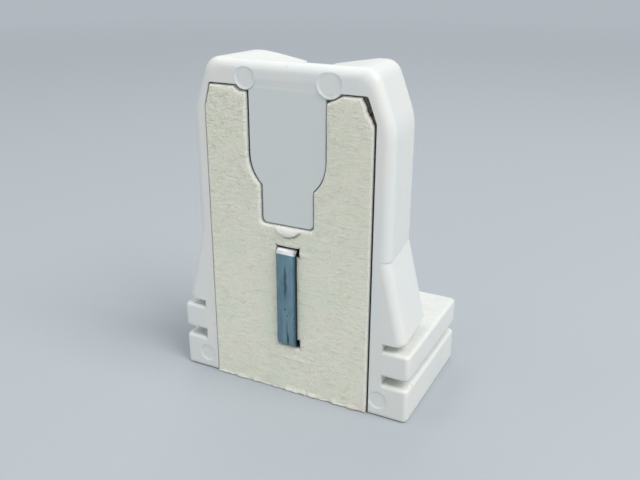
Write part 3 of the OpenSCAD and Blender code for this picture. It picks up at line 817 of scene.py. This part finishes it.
def triangles(points):
    """Triangles over the points, kept to the inside of the outline. A sliver along the outline
    has no clear inside, so it goes with the first real triangle across its longest edges."""
    corners = [Vector(p) for p in points]
    found = delaunay_2d_cdt(corners, outline_pairs(), [], 0, SAME_POINT_MM)
    placed = np.array([tuple(p) for p in found[0]])
    assert len(placed) == len(points), "the net lost or gained points"
    faces = np.array(found[2])
    kept = inside(placed[faces].mean(1))
    beside = {}
    for number, face in enumerate(faces):
        for a, b in zip(face, np.roll(face, -1)):
            beside.setdefault((min(a, b), max(a, b)), []).append(number)
    slivers = set(np.flatnonzero(areas(placed, faces) < SLIVER_MM2))
    for sliver in slivers:
        at, passed = sliver, set()
        while at in slivers and at not in passed:
            passed.add(at)
            longest = max(((p, q) for p in faces[at] for q in faces[at] if p < q),
                          key=lambda pair: np.linalg.norm(placed[pair[0]] - placed[pair[1]]))
            at = next((n for n in beside[longest] if n != at), None)
        kept[sliver] = at is not None and at not in slivers and kept[at]
    return faces[kept]


face_points = np.concatenate([starts, net_points()])
face_triangles = triangles(face_points)
inner_triangles = triangles(starts)
print("net:", len(face_points), "points and", len(face_triangles), "triangles")

# %% [markdown]
# Now the relief. The rolled edge is a quarter of an ellipse, wide where the punch went through
# and narrow where the board was slit. The lip rises from the cut-out's foot to its own round
# lower edge and stops there with a small step. The torn foot is turned out a little, the
# creases are low ridges, and a slow wave and fine grain keep the rest from being perfectly flat.

# %% Raise the relief
SLIT_ROLL_MM, PUNCH_ROLL_MM, UNEVEN = np.array((0.24, 0.20)), np.array((0.46, 0.44)), 0.3
CUT_WIDER = 1.15
LIP_SOFT_MM, LIP_STARTS_MM = (-0.1, 0.06), 0.1
STEP_AT_MM, STEP_WIDE_MM, STEP_SHADE = 0.09, 0.07, 0.75
STEP_RIGHT_MM, STEP_DOWN_MM = (-1.2, 0.1), (0.2, 0.6)
TORN_MM, TORN_FROM_MM, TORN_RISE_MM, TORN_UNEVEN = 0.55, 0.08, 0.16, 1.2
TORN_RIGHT, TORN_RIGHT_MM = 0.7, (3, 9)
WAVE_MM, GRAIN_MM, LEVEL_FROM_MM = 0.03, 0.02, 0.8
OVERHANG_MM, OVERHANG_UP_MM, ROOM_LOST_TORN = 0.04, (0.5, 1.5), 0.8
CREASE_LOW_END, LIP_HIGHLIGHT = 0.35, 0.7
CREASES_MM = (
    ((-3.6, 20.1), (-1.7, 20.0), 0.13, 0.08),
    ((1.5, 19.9), (3.4, 19.6), 0.13, 0.10),
    ((-2.6, 5.15), (3.2, 5.0), 0.13, 0.12),
    ((2.8, 1.95), (4.3, 2.0), 0.11, 0.05),
    ((-2.2, 5.9), (-0.4, 5.85), 0.10, 0.03),
)


def soft_step(value, low, high):
    t = np.clip((value - low) / (high - low), 0, 1)
    return t * t * (3 - 2 * t)


def sheet_noise(points, across, up, start):
    """Noise over the sheet, from about -1 to 1. across and up say how quickly it changes."""
    return np.array([noise.noise(Vector((x * across, z * up, start))) for x, z in points])


def rolled_edge(points, gap, punched):
    """How far the rolled edge lies below the flat face, and how much a point is cut edge."""
    uneven = 1 + UNEVEN * sheet_noise(points, 1.1, 1.1, 5.1)
    width, depth = ((SLIT_ROLL_MM + (PUNCH_ROLL_MM - SLIT_ROLL_MM) * punched[:, None]).T) * uneven
    below = depth * (1 - np.sqrt(1 - np.clip(1 - gap / width, 0, 1) ** 2))
    return below, 1 - soft_step(gap, 0, width * CUT_WIDER)


def pressed_lip(x, z):
    """1 on the half-moon lip, how far it has risen there, and the painted shadow in the step below it."""
    centre_gap = np.hypot(x, z - LIP_CENTRE_MM)
    below_top = LIP_TOP_MM - z
    in_round = 1 - soft_step(centre_gap, LIP_RADIUS_MM + LIP_SOFT_MM[0], LIP_RADIUS_MM + LIP_SOFT_MM[1])
    lip = in_round * (below_top > -LIP_STARTS_MM)
    rise = soft_step(below_top, -LIP_STARTS_MM, LIP_RAMP_MM) * lip_rise
    # Painted shadow: a dark line in the step below the lip's round edge.
    step = np.exp(-((centre_gap - LIP_RADIUS_MM - STEP_AT_MM) / STEP_WIDE_MM) ** 2)
    step = step * soft_step(x, *STEP_RIGHT_MM) * soft_step(below_top, *STEP_DOWN_MM)
    return lip, rise, STEP_SHADE * step


def creased(points):
    """The height of the creases, each a ridge from a to b, and how much a point is crease."""
    raised, crease = np.zeros(len(points)), np.zeros(len(points))
    for a, b, half_width, height in CREASES_MM:
        a, b = np.array(a), np.array(b)
        t = np.clip(((points - a) @ (b - a)) / ((b - a) @ (b - a)), 0, 1)
        off = np.linalg.norm(points - a - t[:, None] * (b - a), axis=1)
        bow = np.sin(math.pi * np.clip(t, 0.05, 0.95))
        ridge = np.exp(-(off / half_width) ** 2) * (CREASE_LOW_END + (1 - CREASE_LOW_END) * bow)
        raised += ridge * height
        crease = np.maximum(crease, ridge)
    return raised, crease


def sheet_relief(points):
    """How far each point stands out of the flat face, in millimetres, and its attributes: how
    much it is cut edge, crease or shade, and the room round it in which a loose fibre may lie."""
    x, z = points[:, 0], points[:, 1]
    gap, punched = from_outline(points)
    below, cut = rolled_edge(points, gap, punched)
    lip, rise, shade = pressed_lip(x, z)
    raised, crease = creased(points)
    teeth = TORN_UNEVEN * np.array([noise.noise(Vector((px * 1.3, 7.7, pz * 0.8))) for px, pz in points])
    torn_to = TORN_MM * (1 + teeth + TORN_RIGHT * soft_step(x, *TORN_RIGHT_MM))
    torn = 1 - soft_step(z, TORN_FROM_MM, torn_to)
    level = WAVE_MM * sheet_noise(points, 0.11, 0.09, 3.7) + GRAIN_MM * sheet_noise(points, 0.8, 2.4, 8.2)
    out = lip * rise - below + torn * TORN_RISE_MM * (1 + teeth) + raised
    out += soft_step(gap, 0, LEVEL_FROM_MM) * level
    room = (gap + OVERHANG_MM * soft_step(z, *OVERHANG_UP_MM)) * (1 - ROOM_LOST_TORN * torn)
    # The lip goes into the crease mask, so that it is painted pale: a painted highlight.
    cut, crease = np.maximum(cut, torn), np.maximum(crease, lip * LIP_HIGHLIGHT)
    return out, {"cut_edge": cut, "crease": crease, "shade": shade, "room": room * MM}


relief, masks = sheet_relief(face_points)
print("relief from", round(float(relief.min()), 3), "to", round(float(relief.max()), 3), "mm")

# %% Join the outer face, the inner face and the cut edge
CRISP = math.radians(50)


def sheet_mesh():
    total = len(face_points)
    outer = [(x, plate_face - out, z) for (x, z), out in zip(face_points, relief)]
    inner = [(x, plate_high.y, z) for x, z in starts]
    faces = [tuple(t) for t in face_triangles]
    faces += [tuple(int(i) + total for i in t)[::-1] for t in inner_triangles]
    faces += [(b, a, total + a, total + b) for a, b in outline_pairs()]
    mesh = bpy.data.meshes.new("fibre_back_sheet")
    mesh.from_pydata([Vector(p) * MM for p in outer + inner], [], faces)
    for name, values in masks.items():
        layer = mesh.attributes.new(name, "FLOAT", "POINT")
        everywhere = np.concatenate([values, np.zeros(len(inner))])
        layer.data.foreach_set("value", everywhere.astype(np.float32))
    work = bmesh.new()
    work.from_mesh(mesh)
    bmesh.ops.recalc_face_normals(work, faces=work.faces)
    for edge in work.edges:
        edge.smooth = edge.calc_face_angle(0) < CRISP
    for face in work.faces:
        face.smooth = True
    print("open edges:", sum(not e.is_manifold for e in work.edges), "volume, mm3:",
          round(work.calc_volume() / MM ** 3, 1))
    work.to_mesh(mesh)
    work.free()
    return mesh


plain_sheet = sheet_mesh()

# %% [markdown]
# Pressed board is felted paper, so single fibres lie loose on its face, and a few hang over its
# edges. They are what repeats on this piece: one thin curved hair, laid on the face at
# random places, mostly along the grain, which runs across the sheet. A hair shrinks where
# there is little room, so that none reaches into the moulding.

# %% Felt the sheet with loose fibres
FIBRE_SIZES = {"Length": 0.7 * MM, "Radius": 0.014 * MM, "Amount": 1.5 / MM ** 2, "Spread": 0.8, "Seed": 11}
FACING_OUT = 0.95
SHORTEST, LONGEST, BOW, BOW_RADII = 0.5, 1.3, 0.3, 4
HAIR_STEPS, HAIR_SIDES = 5, 3


def loose_fibres():
    """Lays a bowed hair at random places that face straight out of the sheet."""
    recipe = Recipe("loose_fibres", **FIBRE_SIZES)
    mesh, length, radius = recipe.take("Mesh"), recipe.take("Length"), recipe.take("Radius")
    start = recipe.node("ShaderNodeCombineXYZ", None, {0: length * -0.5})
    bend = recipe.node("ShaderNodeCombineXYZ", None, {1: length * BOW, 2: radius * BOW_RADII})
    end = recipe.node("ShaderNodeCombineXYZ", None, {0: length * 0.5})
    line = recipe.node("GeometryNodeCurveQuadraticBezier", None,
                       {0: HAIR_STEPS, 1: start, 2: bend, 3: end})
    round_section = recipe.node("GeometryNodeCurvePrimitiveCircle", None, {0: HAIR_SIDES, 4: radius})
    hair = recipe.node("GeometryNodeCurveToMesh", None, {0: line, 1: round_section, "Fill Caps": True})
    backwards = recipe.axes(recipe.node("GeometryNodeInputNormal"))[1] * -1
    on_face = recipe.node("FunctionNodeCompare", {"data_type": "FLOAT", "operation": "GREATER_THAN"},
                          {0: backwards, 1: FACING_OUT})
    scattered = recipe.node("GeometryNodeDistributePointsOnFaces", None,
                            {0: mesh, 1: on_face, 4: recipe.take("Amount"), 6: recipe.take("Seed")})
    lying = recipe.node("FunctionNodeAlignRotationToVector", {"axis": "Z"},
                        {2: scattered.other("Normal")})
    spread = recipe.take("Spread")
    spin = recipe.node("FunctionNodeRandomValue", {"data_type": "FLOAT"},
                       {2: spread * -1, 3: spread, 8: recipe.take("Seed")}, output=1)
    turn = recipe.node("FunctionNodeAxisAngleToRotation", None, {0: (0, 0, 1), 1: spin})
    turned = recipe.node("FunctionNodeRotateRotation", {"rotation_space": "LOCAL"}, {0: lying, 1: turn})
    free_size = recipe.node("FunctionNodeRandomValue", {"data_type": "FLOAT"},
                            {2: SHORTEST, 3: LONGEST, 8: recipe.take("Seed") + 1}, output=1)
    room = recipe.node("GeometryNodeInputNamedAttribute", {"data_type": "FLOAT"}, {"Name": "room"})
    size = recipe.maths("MINIMUM", free_size, room / (length * 0.5))
    hairs = recipe.node("GeometryNodeInstanceOnPoints", None,
                        {0: scattered, 2: hair, 5: turned, 6: size})
    smooth = recipe.node("GeometryNodeSetShadeSmooth", None, {0: hairs})
    recipe.give(recipe.join(mesh, smooth))
    return recipe


felted = loose_fibres().grow(plain_sheet, pressed_fibre)
add_piece("fibre_back_sheet", felted, pressed_fibre, "holder", "back_plate")

# %% [markdown]
# ## The metal pieces
# The clip, the contacts and the springs are stamped from strip, and stamping leaves a small
# radius on every edge. Each solid is joined up, its flat faces are dissolved back to
# single polygons, and a Bevel modifier rounds the edges that are left.

# %% Round the stamped edges
LEVEL = math.radians(0.4)
EDGE_STEPS = 3
CLIP_EDGE_MM, CONTACT_EDGE_MM, SPRING_EDGE_MM = 0.09, 0.06, 0.05


def rounded_copy(name, radius_mm):
    """A solid's mesh with its sharp edges rounded."""
    work = merged_copy(name)
    bmesh.ops.dissolve_limit(work, angle_limit=LEVEL, verts=work.verts, edges=work.edges)
    mesh = bpy.data.meshes.new(name + "_strip")
    work.to_mesh(mesh)
    work.free()
    draft = new_object("draft", mesh)
    bevel = draft.modifiers.new("stamped_edges", "BEVEL")
    bevel.width = radius_mm * MM
    bevel.segments = EDGE_STEPS
    bevel.limit_method = "ANGLE"
    bevel.angle_limit = SHARP
    bevel.harden_normals = True
    for face in mesh.polygons:
        face.use_smooth = True
    return plain_mesh(draft, name + "_strip")


def add_strip(name, solid, edge_mm, material, body):
    add_piece(name, rounded_copy(solid, edge_mm), material, body, solid)


add_strip("clip_strip", "plate_clip", CLIP_EDGE_MM, zinc_plate, "holder")
for side in ("left", "right"):
    contact, leaf, wire_spring = f"{side}_contact", f"{side}_pin_leaf", f"{side}_wire_spring"
    add_strip(contact + "_strip", contact, CONTACT_EDGE_MM, bronze, "holder")
    add_strip(leaf + "_strip", leaf, SPRING_EDGE_MM, bronze, f"{side}_leaf")
    add_strip(wire_spring + "_frame", wire_spring, SPRING_EDGE_MM, spring, "holder")
    for end in ("rear", "front"):
        tongue, grip = f"{side}_{end}_tongue", f"{side}_{end}_grip"
        add_strip(tongue + "_strip", tongue, SPRING_EDGE_MM, spring, grip)

# %% [markdown]
# ## Light and floor
# A big soft lamp above and to the right gives the bright humps and the shade on the sheet. A
# long one above and to the left runs from front to back, so that the strip's bend mirrors it
# whole. A weak fill beside the camera opens the shade, and the even light of the sky does the
# rest. Together they light a white face at about its own colour, so nothing burns out. The
# floor and the sky are plain and pale, and far from the holder the floor fades into the sky.

# %% Light the holder
def soft_lamp(name, towards, distance, size, share, colour):
    """A flat lamp. A white face turned to it gets this share of full brightness from it."""
    data = bpy.data.lights.new(name, "AREA")
    data.shape = "RECTANGLE"
    data.size, data.size_y = size
    data.color = colour
    data.energy = share * (math.pi * distance) ** 2
    lamp = new_object(name, data)
    middle = (cad_low + cad_high) / 2
    lamp.location = middle + Vector(towards).normalized() * distance
    lamp.rotation_euler = (middle - lamp.location).to_track_quat("-Z", "Y").to_euler()
    print(f"{name}: {data.energy:.2f} W from {distance} m")


soft_lamp("window", towards=(0.60, -0.15, 0.78), distance=0.6, size=(0.36, 0.36),
          share=0.78, colour=(1.0, 0.995, 0.985))
soft_lamp("long_lamp", towards=(-0.42, 0.12, 0.75), distance=0.6, size=(1.10, 0.15),
          share=0.36, colour=(0.98, 1.0, 1.0))
soft_lamp("fill", towards=(-0.25, -0.95, 0.15), distance=0.7, size=(0.5, 0.5),
          share=0.14, colour=(1.0, 1.0, 0.99))

# %% A pale floor that fades into a pale sky
FLOOR_PALE = (0.44, 0.475, 0.51)
SKY_LIGHT, SKY_TINT, SKY_SEEN = 0.45, (0.97, 0.985, 1.0), (0.44, 0.48, 0.52)
FADE_FROM_MM, FADE_TO_MM = 120, 600
FLOOR_HALF_M, FLOOR_BELOW_MM = 1.5, 0.02


def shows_surroundings(wiring):
    """1 for rays that picture the surroundings, 0 for those that light the piece."""
    camera_ray = wiring.node("ShaderNodeLightPath", output="Is Camera Ray")
    return camera_ray.most(camera_ray.other("Is Glossy Ray")).most(camera_ray.other("Is Transmission Ray"))


def pale_floor():
    finish = Finish("studio_floor")
    finish.set(Base_Color=(*FLOOR_PALE, 1), Roughness=0.9)
    away = finish.node("ShaderNodeVectorMath", {"operation": "LENGTH"}, {0: finish.place()}, "Value")
    haze = finish.node("ShaderNodeEmission", None, {0: (*SKY_SEEN, 1)})
    factor = away.between(FADE_FROM_MM, FADE_TO_MM) * shows_surroundings(finish)
    lit = Value(finish, finish.shader.outputs[0])
    faded = finish.node("ShaderNodeMixShader", None, {0: factor, 1: lit, 2: haze})
    finish.feed(finish.tree.nodes["Material Output"].inputs["Surface"], faded)
    half, low = FLOOR_HALF_M, -FLOOR_BELOW_MM * MM
    corners = [(-half, -half, low), (half, -half, low), (half, half, low), (-half, half, low)]
    mesh = bpy.data.meshes.new("studio_floor")
    mesh.from_pydata(corners, [], [(0, 1, 2, 3)])
    mesh.materials.append(finish.material)
    new_object("studio_floor", mesh)


def pale_sky():
    world = bpy.data.worlds.new("pale_sky")
    world.use_nodes = True
    sky = Wiring(world.node_tree)
    light = sky.node("ShaderNodeBackground", None, {0: (*SKY_TINT, 1), 1: SKY_LIGHT})
    seen = sky.node("ShaderNodeBackground", None, {0: (*SKY_SEEN, 1)})
    mixed = sky.node("ShaderNodeMixShader", None, {0: shows_surroundings(sky), 1: light, 2: seen})
    sky.feed(sky.tree.nodes["World Output"].inputs["Surface"], mixed)
    bpy.context.scene.world = world


pale_floor()
pale_sky()
bpy.context.scene.view_settings.view_transform = "Standard"
print("the floor fades into the sky from", FADE_FROM_MM, "to", FADE_TO_MM, "mm")
